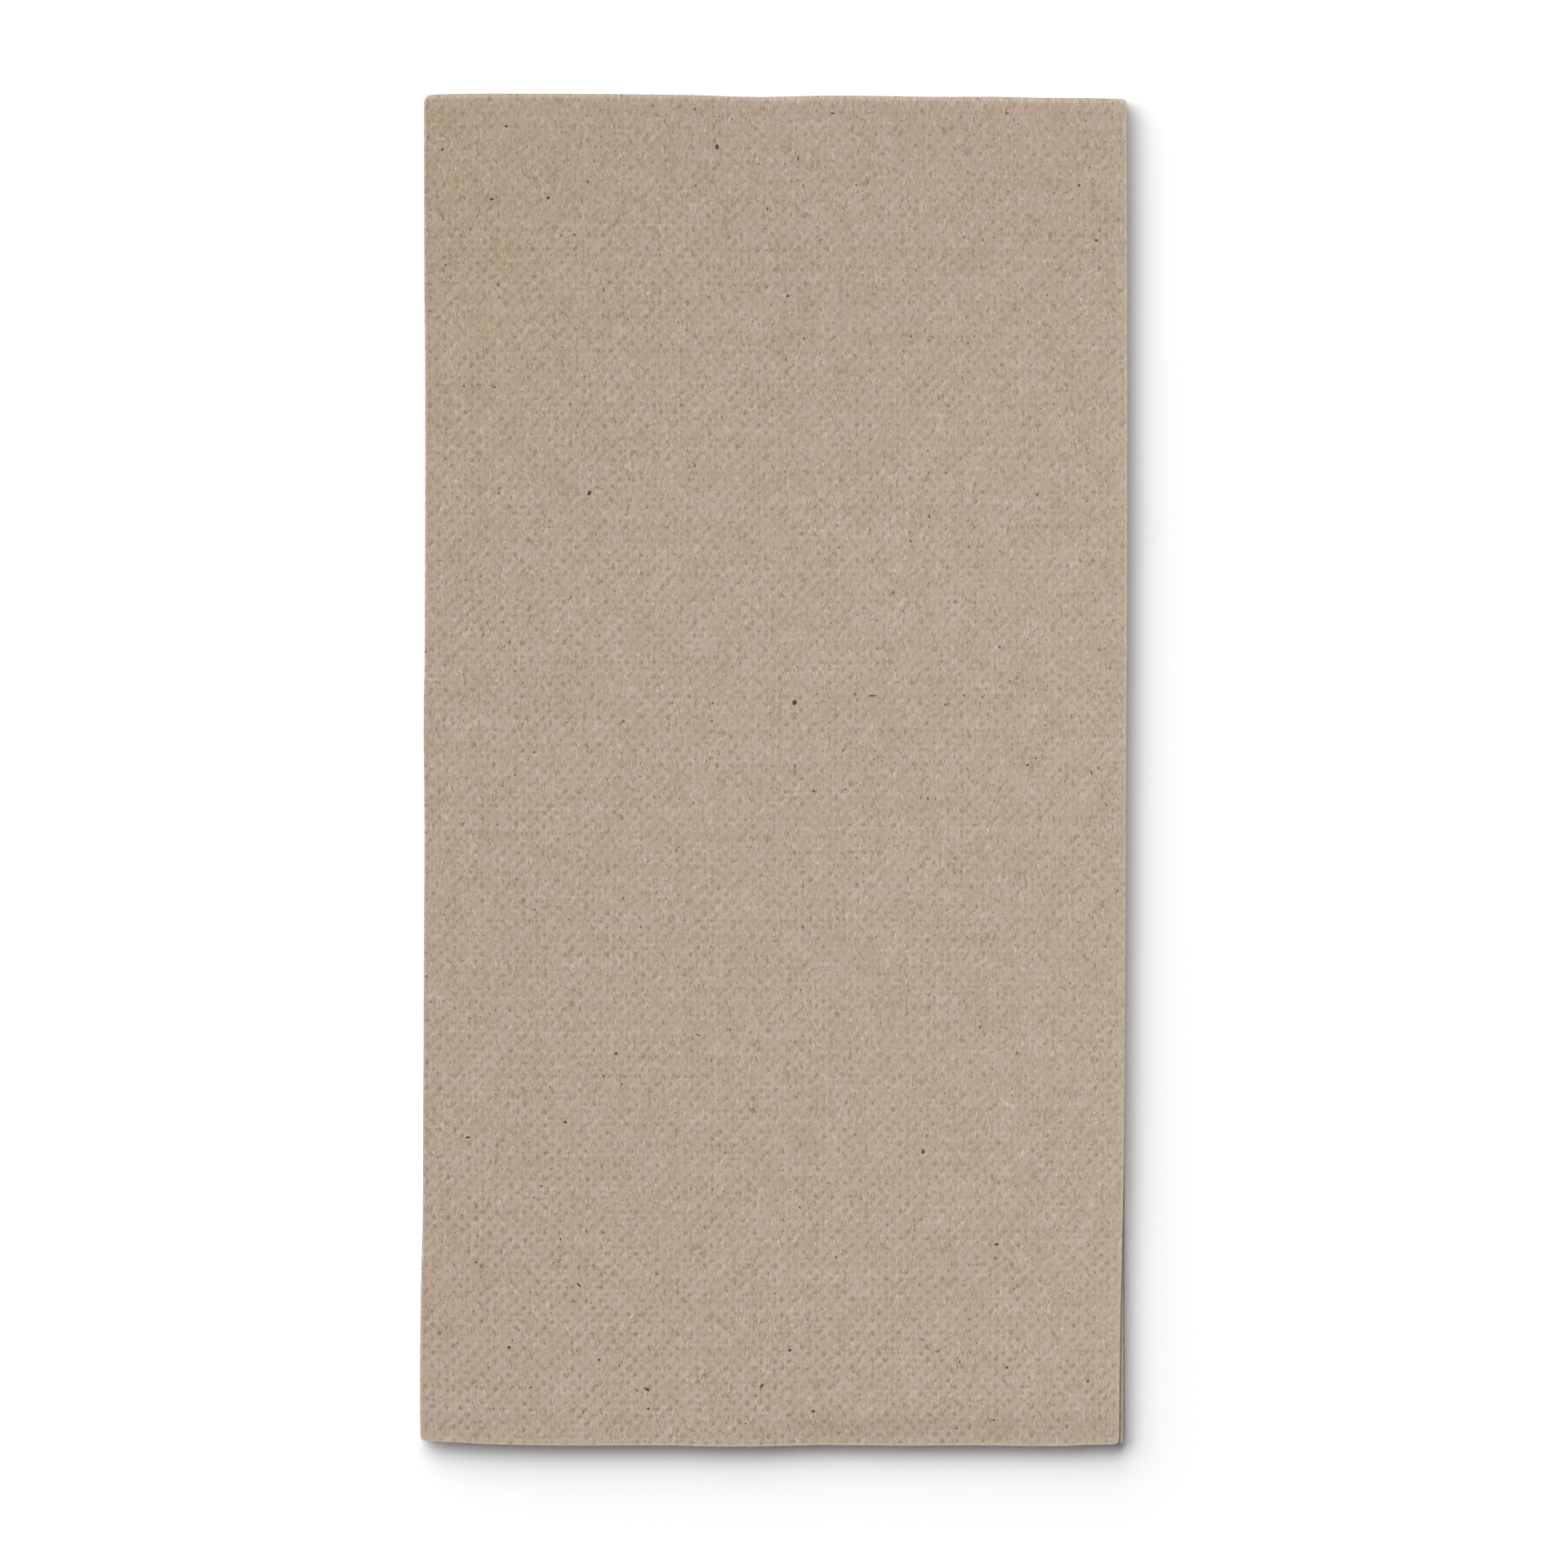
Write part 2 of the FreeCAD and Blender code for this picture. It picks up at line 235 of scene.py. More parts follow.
def row_of_points(b, count):
    """A row of points and the share of the row that lies before each of them, from 0 to 1."""
    return b.lay("GeometryNodeMeshLine", {"Count": count}).outputs[0], b.over(b.index(), b.minus(count, 1))


def straight_line():
    """A straight run of the sheet's section, with its points crowded towards both ends."""
    b, given, out = new_tree(
        "straight run",
        [
            ("Start", VECTOR, None), ("End", VECTOR, None), ("Points", COUNT, 10),
            ("Crowding", FLOAT, 0.5), ("Run Before", FLOAT, 0.0),
        ],
        [("Line", SHAPE)],
    )
    line, share = row_of_points(b, given["Points"])
    swing = b.times(b.calc("SINE", b.times(share, math.tau)), b.over(given["Crowding"], math.tau))
    step = b.scale(b.vector("SUBTRACT", given["End"], given["Start"]), b.minus(share, swing))
    line = b.store(line, "run", b.plus(given["Run Before"], b.vector("LENGTH", step, out="Value")))
    b.feed(out["Line"], b.move(line, Position=b.vector("ADD", given["Start"], step)))
    return b.tree


def fold_line():
    """A rounded fold of the sheet's section, about its centre."""
    b, given, out = new_tree(
        "rounded fold",
        [
            ("Centre", VECTOR, None), ("Radius", FLOAT, 0.0), ("Start Angle", FLOAT, 0.0), ("Turn", FLOAT, 0.0),
            ("Points", COUNT, 10), ("Run Before", FLOAT, 0.0),
        ],
        [("Line", SHAPE)],
    )
    line, share = row_of_points(b, given["Points"])
    turned = b.times(share, given["Turn"])
    angle = b.plus(given["Start Angle"], turned)
    arm = b.scale(b.point(b.calc("COSINE", angle), b.calc("SINE", angle), 0.0), given["Radius"])
    line = b.store(line, "run", b.plus(given["Run Before"], b.times(given["Radius"], b.size_of(turned))))
    b.feed(out["Line"], b.move(line, Position=b.vector("ADD", given["Centre"], arm)))
    return b.tree


def one_curve(b, lines):
    """Joins the runs and folds, which meet end to end, to one curve."""
    joined = b.lay("GeometryNodeJoinGeometry")
    for line in lines:
        b.feed(joined.inputs[0], line)
    merged = b.lay("GeometryNodeMergeByDistance", {"Geometry": joined.outputs[0], "Distance": TOUCHING})
    return b.lay("GeometryNodeMeshToCurve", {"Mesh": merged.outputs[0]}).outputs[0]


def stray(b, place, points, half):
    """How far an edge strays at a place along it, read off a curve through the points."""
    node = b.lay("ShaderNodeFloatCurve", {"Value": b.slope(place, -half, half)})
    line = node.mapping.curves[0]
    node.mapping.extend = "HORIZONTAL"
    spots = [((at * MM + half) / (2 * half), 0.5 + off / 2) for at, off in points]
    for number, spot in enumerate(spots):
        if number < 2:
            line.points[number].location = spot
        else:
            line.points.new(*spot)
    node.mapping.update()
    return b.slope(node.outputs[0], 0.0, 1.0, -MM, MM)


def corner_rounding():
    """How far a place near a corner moves in, so that the corner is round from above."""
    b, given, out = new_tree(
        "round a corner",
        [("Position", VECTOR, None), ("Corner", VECTOR, None), ("Facing", VECTOR, None), ("Radius", FLOAT, MM)],
        [("Offset", VECTOR)],
    )
    beyond = b.vector("MULTIPLY", b.vector("SUBTRACT", given["Corner"], given["Position"]), given["Facing"])
    px, py, _ = b.parts(b.scale(beyond, b.over(-1.0, given["Radius"])))
    px, py = (b.calc("ADD", value, 1.0, clamp=True) for value in (px, py))

    def shrink(own, other):
        square = b.times(other, other, 0.5)
        return b.times(own, b.minus(b.calc("SQRT", b.minus(1.0, square)), 1.0))

    inward = b.scale(b.point(shrink(px, py), shrink(py, px), 0.0), given["Radius"])
    b.feed(out["Offset"], b.vector("MULTIPLY", inward, given["Facing"]))
    return b.tree


def pressed(b, past, above, flatness, folded):
    """How far a place on a fold moves out and up when the fold is pressed flatter than round. The place is
    given from the fold's middle, and folded is 1 on the fold and 0 on the flat leaf beside it."""
    reach = b.calc("SQRT", b.plus(b.times(past, past), b.times(above, above)))
    reach = b.calc("MAXIMUM", reach, HARDLY_ANYTHING)
    shares = [b.calc("POWER", b.size_of(b.over(side, reach)), flatness) for side in (past, above)]
    farther = b.minus(b.calc("POWER", b.plus(*shares), b.over(-1.0, flatness)), 1.0)
    farther = b.times(farther, folded)
    return b.times(past, farther), b.times(above, farther)


def sheet_folding(run, fold, corner):
    """The tree that folds the sheet: its section turns about the cross fold, then strays as pressed paper does."""
    b, given, out = new_tree(
        "fold the sheet",
        [
            ("Geometry", SHAPE, None),
            ("Folded Width", FLOAT, folded_width),
            ("Folded Length", FLOAT, folded_length),
            ("Leaf Thickness", FLOAT, leaf_thickness),
            ("Leaf Gap", FLOAT, leaf_gap),
            ("Outer Edge Setback", FLOAT, outer_edge_setback),
            ("Second Edge Setback", FLOAT, second_edge_setback),
            ("End Step", FLOAT, end_step),
            ("Surface Wave", FLOAT, 0.10 * MM),
            ("Fold Flatness", FLOAT, 7.0),
            ("Folded Corner Radius", FLOAT, 1.1 * MM),
            ("Other Corner Radius", FLOAT, 0.55 * MM),
            ("Points Across", COUNT, 44),
            ("Points Along", COUNT, 80),
            ("Fold Points", COUNT, 11),
            ("Crowding", FLOAT, 0.75),
            ("Tissue", FINISH, None),
        ],
        [("Geometry", SHAPE)],
    )
    thick, gap = given["Leaf Thickness"], given["Leaf Gap"]
    half_thick = b.over(thick, 2)
    pitch = b.plus(thick, gap)
    small = b.over(pitch, 2)
    large = b.plus(small, pitch)
    half_width = b.over(given["Folded Width"], 2)
    half_length = b.over(given["Folded Length"], 2)
    pack = b.minus(b.times(pitch, 4), gap)

    # The section, across the sheet: x is across the napkin and y is the height in the upper pack of four leaves.
    levels = [half_thick]
    for _ in range(3):
        levels.append(b.plus(levels[-1], pitch))
    left = b.minus(b.plus(large, half_thick), half_width)
    right = b.minus(half_width, b.plus(small, half_thick))
    outer_edge = b.minus(half_width, given["Outer Edge Setback"])
    second_edge = b.minus(half_width, given["Second Edge Setback"])
    fold_middle = b.plus(levels[1], small)
    lines, length = [], 0.0

    def leaf(start, end, level):
        nonlocal length
        laid = b.use(
            run, Start=b.point(start, level, 0.0), End=b.point(end, level, 0.0),
            Points=given["Points Across"], Crowding=given["Crowding"], Run_Before=length,
        )
        lines.append(laid["Line"])
        length = b.plus(length, b.size_of(b.minus(end, start)))

    def turn(x, height, radius, start, angle):
        nonlocal length
        laid = b.use(
            fold, Centre=b.point(x, height, 0.0), Radius=radius, Start_Angle=start, Turn=angle,
            Points=given["Fold Points"], Run_Before=length,
        )
        lines.append(laid["Line"])
        length = b.plus(length, b.times(radius, math.pi))

    leaf(outer_edge, left, levels[3])
    turn(left, fold_middle, large, math.pi / 2, math.pi)
    leaf(left, right, levels[0])
    turn(right, b.plus(levels[0], small), small, -math.pi / 2, math.pi)
    leaf(right, left, levels[1])
    turn(left, fold_middle, small, -math.pi / 2, -math.pi)
    leaf(left, second_edge, levels[2])
    section = one_curve(b, lines)
    x, y, _ = b.parts(b.here())
    past, above = b.calc("MINIMUM", b.minus(x, left), 0.0), b.minus(y, fold_middle)
    moved = pressed(b, past, above, given["Fold Flatness"], b.calc("LESS_THAN", past, -HARDLY_PAST))
    section = b.move(section, Offset=b.point(*moved, 0.0))
    section = b.store(section, "height", y)
    section = b.store(section, "across", b.named("run"))

    # The way round the cross fold, which the section follows: out along the upper pack, back along the lower one.
    half_gap = b.over(gap, 2)
    axis_y = b.minus(half_length, b.plus(half_gap, pack))
    axis_z = b.plus(pack, half_gap)
    cut_end = b.minus(0.0, half_length)
    lower, upper = b.minus(axis_z, half_gap), b.plus(axis_z, half_gap)
    out_run, back_run = (
        b.use(
            run, Start=b.point(0.0, *start), End=b.point(0.0, *end),
            Points=given["Points Along"], Crowding=given["Crowding"],
        )["Line"]
        for start, end in (((cut_end, upper), (axis_y, upper)), ((axis_y, lower), (cut_end, lower)))
    )
    more_points = 4
    about = b.use(
        fold, Radius=half_gap, Start_Angle=math.pi / 2, Turn=-math.pi,
        Points=b.plus(given["Fold Points"], more_points),
    )["Line"]
    upright = (math.pi / 2, 0.0, math.pi / 2)
    stood = b.lay(
        "GeometryNodeTransform",
        {"Geometry": about, "Rotation": upright, "Translation": b.point(0.0, axis_y, axis_z)},
    ).outputs[0]
    turned = b.times(b.over(b.index(), b.plus(given["Fold Points"], more_points - 1)), math.pi)
    from_axis = b.minus(b.parts(b.here())["Y"], axis_y)
    path = one_curve(b, [
        b.store(b.store(out_run, "turned", 0.0), "past_fold", from_axis),
        b.store(b.store(stood, "turned", turned), "past_fold", 0.0),
        b.store(b.store(back_run, "turned", math.pi), "past_fold", b.times(from_axis, -1)),
    ])
    swept = b.lay("GeometryNodeCurveToMesh", {"Curve": path, "Profile Curve": section, "Fill Caps": False}).outputs[0]
    radius = b.plus(b.named("height"), half_gap)
    along = b.plus(b.named("past_fold"), b.times(b.named("turned"), radius))
    swept = b.store(swept, "flat_sheet", b.point(b.named("across"), along, 0.0), "FLOAT_VECTOR")

    # The cross fold is pressed flatter than round.
    x, y, z = b.parts(b.here())
    past, above = b.calc("MAXIMUM", b.minus(y, axis_y), 0.0), b.minus(z, axis_z)
    moved = pressed(b, past, above, given["Fold Flatness"], b.calc("GREATER_THAN", past, HARDLY_PAST))
    swept = b.move(swept, Offset=b.point(0.0, *moved))

    # How far each place strays from the pressed shape. Only the top leaf leans at its loose edge, each leaf
    # ends a step short of the one above it, and the leaves droop at the cut end, most of all at the right.
    top_leaf_depth, step_reach, droop_reach, droop_depth = 0.45, 12 * MM, 5 * MM, 0.30 * MM
    stack = b.plus(b.times(pack, 2), gap)
    depth = b.over(b.minus(b.minus(stack, half_thick), z), pitch)
    to_right = b.slope(x, b.times(half_width, -1), half_width)
    to_fold = b.slope(y, cut_end, half_length)
    half_w, half_l = folded_width / 2, folded_length / 2
    move_x = b.mix(to_right, stray(b, y, left_edge_stray, half_l), stray(b, y, right_edge_stray, half_l))
    near_edge = b.calc("POWER", to_right, 3.0)
    lean = b.times(stray(b, y, loose_leaf_lean, half_l), near_edge, b.ramp(depth, top_leaf_depth, 0.0))
    move_x = b.plus(move_x, lean)
    move_y = b.mix(to_fold, stray(b, x, cut_end_stray, half_w), stray(b, x, cross_fold_stray, half_w))
    near_end = b.ramp(y, b.plus(cut_end, step_reach), cut_end)
    move_y = b.plus(move_y, b.times(depth, given["End Step"], near_end))
    wave = b.noise(b.point(x, y, 0.0), 38.0, 1.5, 0.45)
    share = b.over(z, stack)
    move_z = b.times(b.minus(wave, 0.5), given["Surface Wave"], b.times(share, 2.0))
    droop = b.times(b.ramp(y, b.plus(cut_end, droop_reach), cut_end), b.ramp(x, -3 * MM, 2 * MM, 0.25, 1.0))
    move_z = b.minus(move_z, b.times(droop, droop_depth, share))

    # Each corner is rounded too, most of all the one where the folds meet.
    place = b.here()
    offset = b.point(move_x, move_y, move_z)
    for right, far in ((-1, 1), (1, 1), (-1, -1), (1, -1)):
        spot = b.point(b.times(half_width, float(right)), b.times(half_length, float(far)), 0.0)
        radius = given["Folded Corner Radius" if (right, far) == (-1, 1) else "Other Corner Radius"]
        rounding = b.use(corner, Position=place, Corner=spot, Facing=(right, far, 0.0), Radius=radius)["Offset"]
        offset = b.vector("ADD", offset, rounding)
    made = b.move(swept, Offset=offset)
    for name in ("run", "across", "height", "turned", "past_fold"):
        made = b.lay("GeometryNodeRemoveAttribute", {"Geometry": made, "Name": name}).outputs[0]
    b.hand_over(out["Geometry"], b.realised(made), given["Tissue"])
    return b.tree


def new_object(name, data):
    """A new object in the scene."""
    made = bpy.data.objects.new(name, data)
    bpy.context.collection.objects.link(made)
    return made


def set_input(modifier, label, value):
    """Sets a modifier's input, which is known by its identifier."""
    socket = next(s for s in modifier.node_group.interface.items_tree if s.name == label and s.in_out == "INPUT")
    modifier[socket.identifier] = value


def made_plain(piece):
    """Leaves a plain mesh in place of the piece's mesh and modifiers."""
    made = bpy.data.meshes.new_from_object(piece.evaluated_get(bpy.context.evaluated_depsgraph_get()))
    piece.modifiers.clear()
    before, piece.data = piece.data, made
    bpy.data.meshes.remove(before)
    made.name = piece.name
    return made


folding = sheet_folding(straight_line(), fold_line(), corner_rounding())


def fold_the_sheet(name, tissue, cut_edge):
    """Runs the tree, gives the leaves their thickness and returns a plain mesh piece."""
    piece = new_object(name, bpy.data.meshes.new(name))
    piece.data.materials.append(tissue)
    piece.data.materials.append(cut_edge)
    fold = piece.modifiers.new("Fold", "NODES")
    fold.node_group = folding
    set_input(fold, "Tissue", tissue)
    leaf = piece.modifiers.new("Leaf", "SOLIDIFY")
    leaf.thickness, leaf.offset, leaf.use_rim, leaf.material_offset_rim = leaf_thickness, 0.0, True, 1
    made_plain(piece).materials.append(cut_edge)
    return piece


def read_all(data, name, kind, width=1):
    """One property of all vertices, corners or faces, as a row for each when it has a width."""
    found = np.zeros(len(data) * width, kind)
    data.foreach_get(name, found)
    return found.reshape(-1, width) if width > 1 else found


def finish_leaves(piece):
    """Presses the underside flat, tells the two plies of the cut edge apart, and lays out the map to bake on."""
    mesh = piece.data
    places = read_all(mesh.vertices, "co", np.float32, 3)
    places[:, 2] = np.maximum(places[:, 2], 0.0)
    mesh.vertices.foreach_set("co", places.ravel())
    across, along = read_all(mesh.attributes["flat_sheet"].data, "vector", np.float32, 3)[:, :2].T / MM
    half = len(mesh.vertices) // 2
    through = mesh.attributes.new("through_leaf", "FLOAT", "POINT")
    through.data.foreach_set("value", np.where(np.arange(2 * half) < half, 1.0, -1.0).astype(np.float32))

    corner = read_all(mesh.loops, "vertex_index", np.int32)
    size = read_all(mesh.polygons, "loop_total", np.int32)
    finish = read_all(mesh.polygons, "material_index", np.int32)
    face = np.repeat(np.arange(len(size)), size)
    side = np.where(face < np.count_nonzero(finish == 0) // 2, 0, 1)
    rim = finish[face] == 1

    def middle(value):
        """The mean over each corner's face."""
        return (np.bincount(face, value[corner]) / size)[face]

    # The outer face of the outer leaf, which is the napkin's top and underside, gets most of the map.
    map_size, margin, pixels_per_mm = 1024, 4.0, 4.8
    outer_width, fold_turn, nearly = 103.1, 2.09, 0.01
    outside = side == (0 if places[:half, 2].max() > places[half:, 2].max() else 1)
    width, cut = across.max(), along.min()
    length = along.max() - cut
    a, v = across[corner], along[corner]
    shown = outside & ~rim & (middle(across) < outer_width)
    turned = middle(along) > fold_turn
    u_px, v_px = np.zeros(len(corner)), np.zeros(len(corner))
    second_column = 506.0
    for part, left, start in ((shown & ~turned, margin, cut), (shown & turned, second_column, fold_turn)):
        u_px[part], v_px[part] = left + a[part] * pixels_per_mm, margin + (v[part] - start) * pixels_per_mm

    # The faces that lie inside the folded napkin share two low strips beyond them.
    strip_width, strip_start, strip_height, second_strip = 490, 958.0, 60, 508.0
    for part, left in ((outside & ~shown & ~rim, margin), (~outside & ~rim, second_strip)):
        u_px[part] = left + a[part] / width * strip_width
        v_px[part] = strip_start + (v[part] - cut) / length * strip_height

    # The cut edges stand in four narrow columns at the right.
    rim_start, rim_step, rim_width, rim_height = 1005.0, 4.6, 2.0, 945
    edges = [middle(across) < nearly, middle(across) > width - nearly, middle(along) < cut + nearly]
    column = np.select(edges, [0, 1, 2], 3)[rim]
    u_px[rim] = rim_start + column * rim_step + np.where(corner[rim] < half, 0.0, rim_width)
    v_px[rim] = margin + np.where(column < 2, (v[rim] - cut) / length, a[rim] / width) * rim_height
    layer = mesh.uv_layers.new(name="OFBake")
    layer.uv.foreach_set("vector", (np.stack([u_px, v_px], 1) / map_size).astype(np.float32).ravel())
    mesh.polygons.foreach_set("use_smooth", np.ones(len(size), bool))
    mesh.set_sharp_from_angle(angle=math.radians(45))


def shade_tree(name, inputs, outputs):
    """A shader group that is given a place in millimetres and named numbers."""
    inputs = [("Vector", VECTOR, None)] + [(label, FLOAT, value) for label, value in inputs]
    return new_tree(name, inputs, [(label, FLOAT) for label in outputs], "ShaderNodeTree")


def embossed_dots():
    """Dimples on a staggered lattice, wandering a little as tissue does in the rollers, with ragged pits where the
    dots bit deepest. The tissue face darkens both with painted shade."""
    b, given, out = shade_tree(
        "embossed dots",
        [
            ("Pitch Across", 2.025), ("Pitch Along", 1.97), ("Turn", 0.007), ("Wander", 0.3), ("Dimple Radius", 0.68),
            ("Pit Width", 0.36), ("Pit Length", 0.60), ("Pit Raggedness", 1.1),
        ],
        ["Dimple", "Pit"],
    )
    about = {"Vector": given["Vector"], "Angle": given["Turn"]}
    turned = b.lay("ShaderNodeVectorRotate", about, rotation_type="Z_AXIS").outputs[0]
    pitch = b.point(given["Pitch Across"], given["Pitch Along"], 1.0)
    pit_size = b.point(b.over(given["Pit Width"], 2), b.over(given["Pit Length"], 2), 1.0)
    smooth = b.wander(turned, turned, 0.8, 1.0, given["Wander"])
    ragged = b.wander(smooth, turned, 2.6, 3.0, given["Pit Raggedness"])
    luck_step = 31.7

    def from_dot(place, shift):
        """The way from the nearest dot of one of the two lattices, and a number that is that dot's own."""
        cell = b.vector("DIVIDE", place, pitch)
        own = b.vector("FLOOR", b.vector("ADD", cell, (shift, shift, 0.0)))
        off = b.vector("SUBTRACT", cell, b.vector("ADD", own, (0.5 - shift, 0.5 - shift, 0.0)))
        off = b.vector("MULTIPLY", b.vector("MULTIPLY", off, (1.0, 1.0, 0.0)), pitch)
        seed = b.vector("ADD", own, (shift * luck_step, 0.0, 0.0))
        return off, b.lay("ShaderNodeTexWhiteNoise", {"Vector": seed}, noise_dimensions="2D").outputs["Value"]

    dimples, pits = [], []
    for shift in (0.5, 0.0):
        off, luck = from_dot(smooth, shift)
        away = b.over(b.vector("LENGTH", off, out="Value"), given["Dimple Radius"])
        dimples.append(b.times(b.ramp(away, 1.0, 0.0), b.slope(luck, 0.0, 1.0, 0.6, 1.0)))
        off, luck = from_dot(ragged, shift)
        away = b.vector("LENGTH", b.vector("DIVIDE", off, pit_size), out="Value")
        pits.append(b.times(b.ramp(away, 1.3, 0.2), b.slope(luck, 0.25, 1.0, 0.0, 1.0)))
    b.feed(out["Dimple"], b.calc("MAXIMUM", *dimples))
    b.feed(out["Pit"], b.calc("MAXIMUM", *pits))
    return b.tree


def paper_grain():
    """Fibres that lie mostly along the machine's direction: their light and shade, fine light and dark hairs,
    and short dark streaks."""
    b, given, out = shade_tree(
        "paper grain",
        [
            ("Fibre Width", 0.15), ("Fibre Length", 0.34), ("Bend", 0.5), ("Hair Size", 0.8),
            ("Hair Fineness", 0.05), ("Streak Share", 0.385),
        ],
        ["Grain", "Hair", "Streak"],
    )
    bent = b.wander(given["Vector"], given["Vector"], 0.9, 2.0, given["Bend"])
    place = b.vector("DIVIDE", bent, b.point(given["Fibre Width"], given["Fibre Length"], 1.0))
    rough = b.ramp(b.noise(bent, 0.7, 2.0), 0.35, 0.62, 0.45, 1.25)
    fine = b.noise(place, 0.5, 3.0, 0.62)
    b.feed(out["Grain"], b.times(b.slope(fine, 0.2, 0.8, -1.0, 1.0), rough))
    streaks = b.noise(b.vector("ADD", place, (171.3, 53.9, 0.0)), 0.42, 2.0)
    b.feed(out["Streak"], b.ramp(streaks, given["Streak Share"], b.minus(given["Streak Share"], 0.12)))
    hair_place = b.in_cells(b.vector("MULTIPLY", bent, (1.0, 0.32, 0.0)), given["Hair Size"])
    hairs = [
        b.ridge(b.noise(b.vector("ADD", hair_place, shift), 1.0, 1.5), given["Hair Fineness"])
        for shift in ((0.0, 0.0, 0.0), (63.1, 27.4, 0.0))
    ]
    b.feed(out["Hair"], b.times(b.minus(*hairs), rough))
    return b.tree


def pulp_patches():
    """Cloudy patches of the pulp, from olive to pinkish, in two sizes."""
    b, given, out = shade_tree("pulp patches", [("Patch Size", 2.4)], ["Patch", "Cloud"])
    place = b.in_cells(given["Vector"], given["Patch Size"])
    b.feed(out["Patch"], b.ramp(b.noise(place, 0.6, 3.0, 0.6), 0.3, 0.7))
    cloud = b.noise(b.vector("ADD", place, (41.0, 17.0, 0.0)), 0.3, 4.0, 0.62)
    b.feed(out["Cloud"], b.slope(cloud, 0.2, 0.8, -1.0, 1.0))
    return b.tree


def bark_specks():
    """Tiny dark specks of bark in the pulp. Only some places hold one."""
    numbers = [("Spacing", 1.1), ("Size", 0.16), ("Share", 0.3), ("Raggedness", 0.3)]
    b, given, out = shade_tree("bark specks", numbers, ["Speck"])
    ragged = b.wander(given["Vector"], given["Vector"], 5.0, 1.0, given["Raggedness"])
    place = b.in_cells(b.vector("MULTIPLY", ragged, (1.0, 0.7, 0.0)), given["Spacing"])
    cells = b.lay("ShaderNodeTexVoronoi", {"Vector": place, "Scale": 1.0}, voronoi_dimensions="2D").outputs
    luck = b.lay("ShaderNodeSeparateColor", {0: cells["Color"]}).outputs
    reach = b.times(given["Size"], b.slope(luck[1], 0.0, 1.0, 0.5, 1.3))
    away = b.over(b.times(cells["Distance"], given["Spacing"]), reach)
    here = b.calc("LESS_THAN", luck[0], given["Share"])
    b.feed(out["Speck"], b.times(b.ramp(away, 1.0, 0.5), here))
    return b.tree


def pale_threads():
    """Short curled fibres that are paler than the pulp, seen at the surface."""
    b, given, out = shade_tree("pale threads", [("Curl Size", 1.1), ("Fineness", 0.04), ("Share", 0.48)], ["Thread"])
    place = b.in_cells(b.vector("MULTIPLY", given["Vector"], (1.0, 0.75, 0.0)), given["Curl Size"])
    curl = b.ridge(b.noise(place, 1.0, 1.0, 0.4), given["Fineness"])
    cut = b.noise(b.vector("ADD", place, (9.1, 77.7, 0.0)), 1.7, 1.0)
    b.feed(out["Thread"], b.times(curl, b.ramp(cut, given["Share"], b.plus(given["Share"], 0.1))))
    return b.tree


dots, grain, patches, specks, threads = embossed_dots(), paper_grain(), pulp_patches(), bark_specks(), pale_threads()


def new_finish(name, roughness, shine):
    """A material, a bench for its tree, and its shader."""
    finish = bpy.data.materials.new(name)
    finish.use_nodes = True
    shader = next(n for n in finish.node_tree.nodes if n.type == "BSDF_PRINCIPLED")
    shader.inputs["Roughness"].default_value = roughness
    shader.inputs["Specular IOR Level"].default_value = shine
    return finish, Bench(finish.node_tree), shader


def stand_out(b, shader, height):
    """Lets a height in millimetres show in the light and shade."""
    bump = b.lay("ShaderNodeBump", {"Height": height, "Distance": MM, "Strength": 1.0})
    b.feed(shader.inputs["Normal"], bump.outputs[0])


